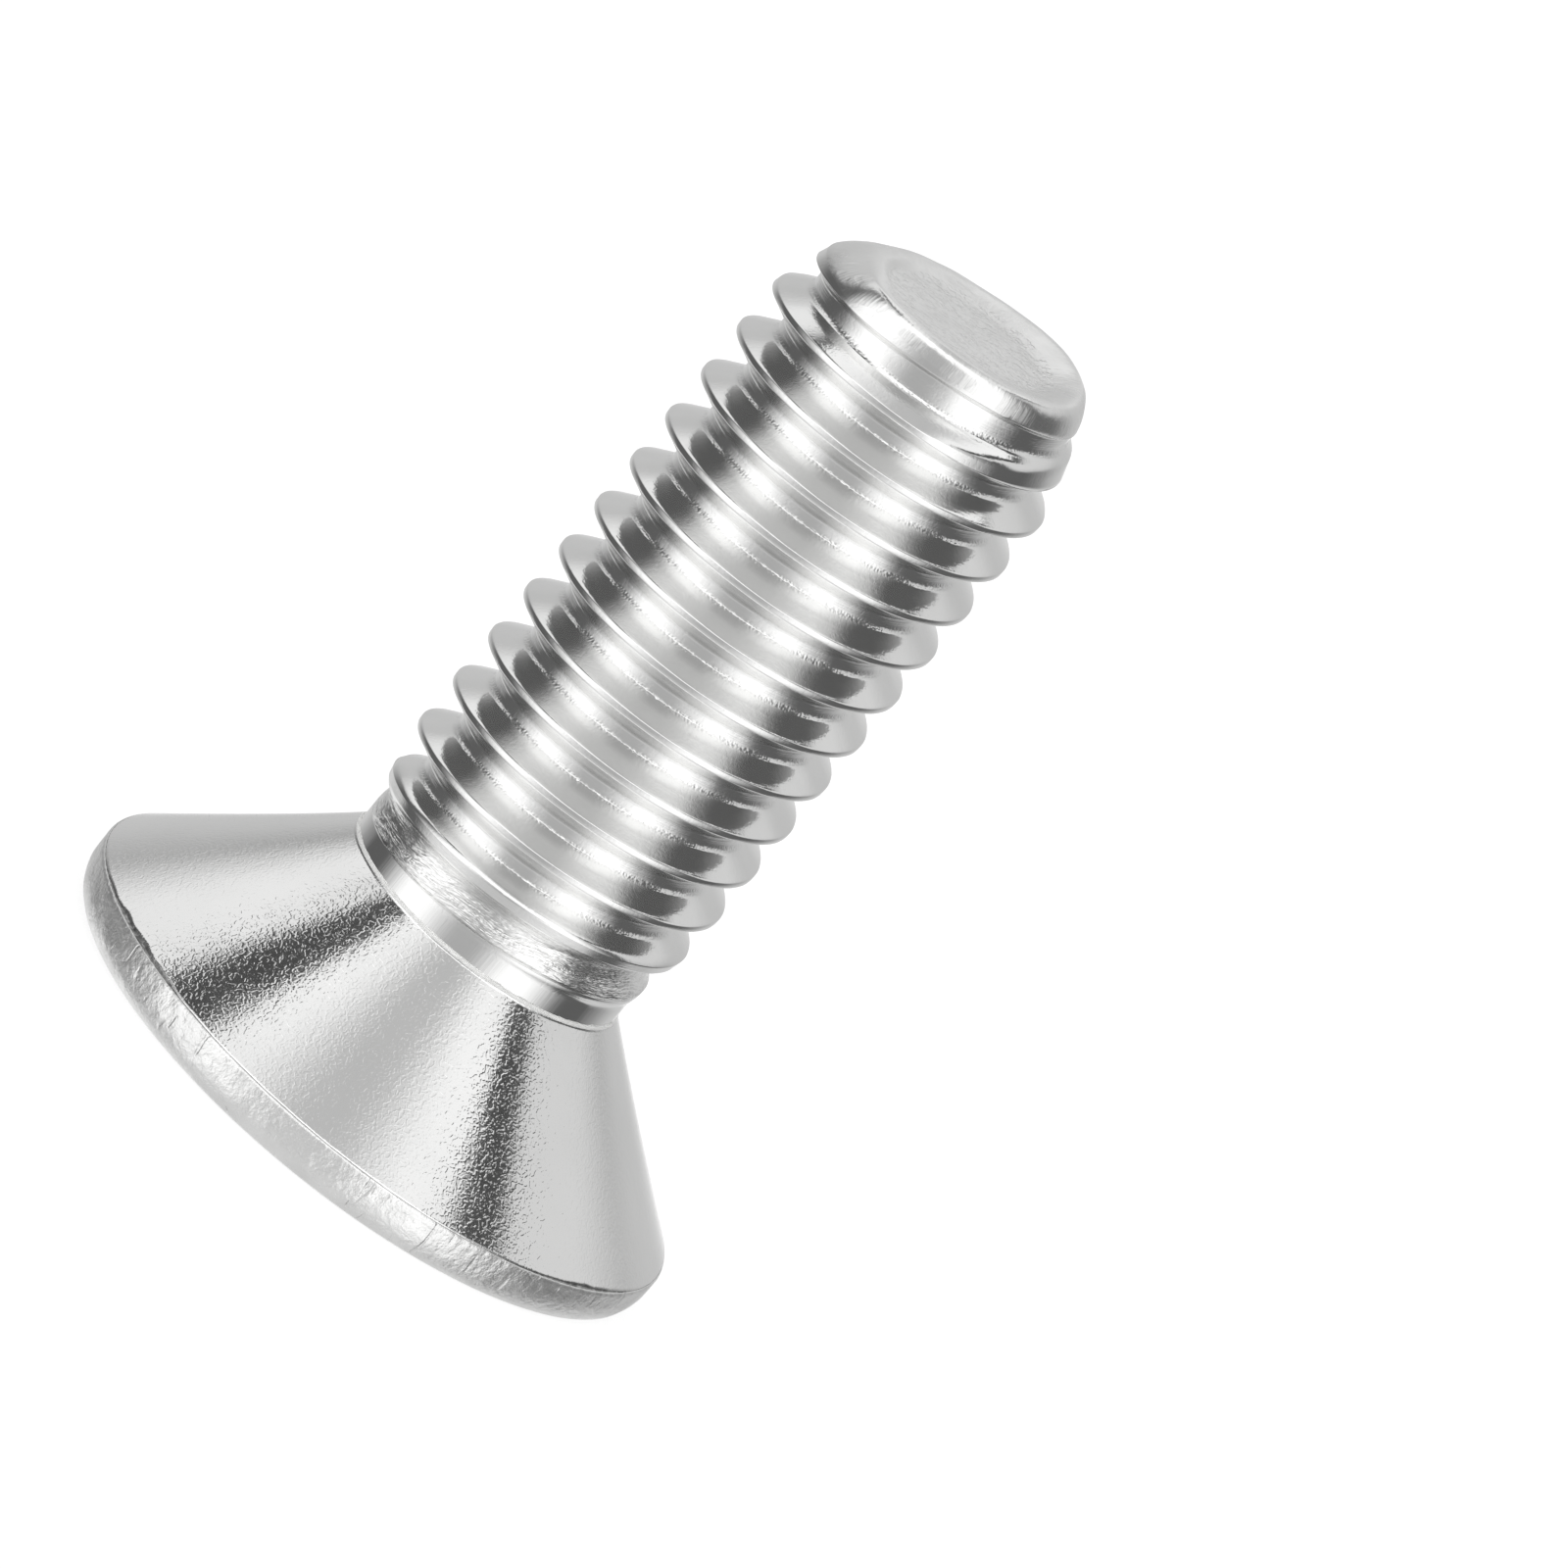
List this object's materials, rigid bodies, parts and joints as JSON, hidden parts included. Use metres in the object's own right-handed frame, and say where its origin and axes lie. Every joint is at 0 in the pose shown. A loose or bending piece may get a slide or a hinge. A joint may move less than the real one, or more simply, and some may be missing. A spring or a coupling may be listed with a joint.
{
  "type": "countersunk socket screw",
  "caption": "Countersunk machine screw with a hexagon socket, a flat head with a narrow band, a short plain neck and a rolled thread up to a tapered, dished tip.",
  "frame": {"origin": "centre of the head's flat face, on which the screw stands", "axes": "+Z along the screw's axis, from the head face up to the tip"},
  "size_m": [0.0098, 0.0098, 0.014],
  "materials": {
    "bright_steel": "bright rolled and forged metal, satin on the head and glossy on the thread"
  },
  "bodies": {
    "root": {"screw": "bright_steel"}
  },
  "joints": []
}
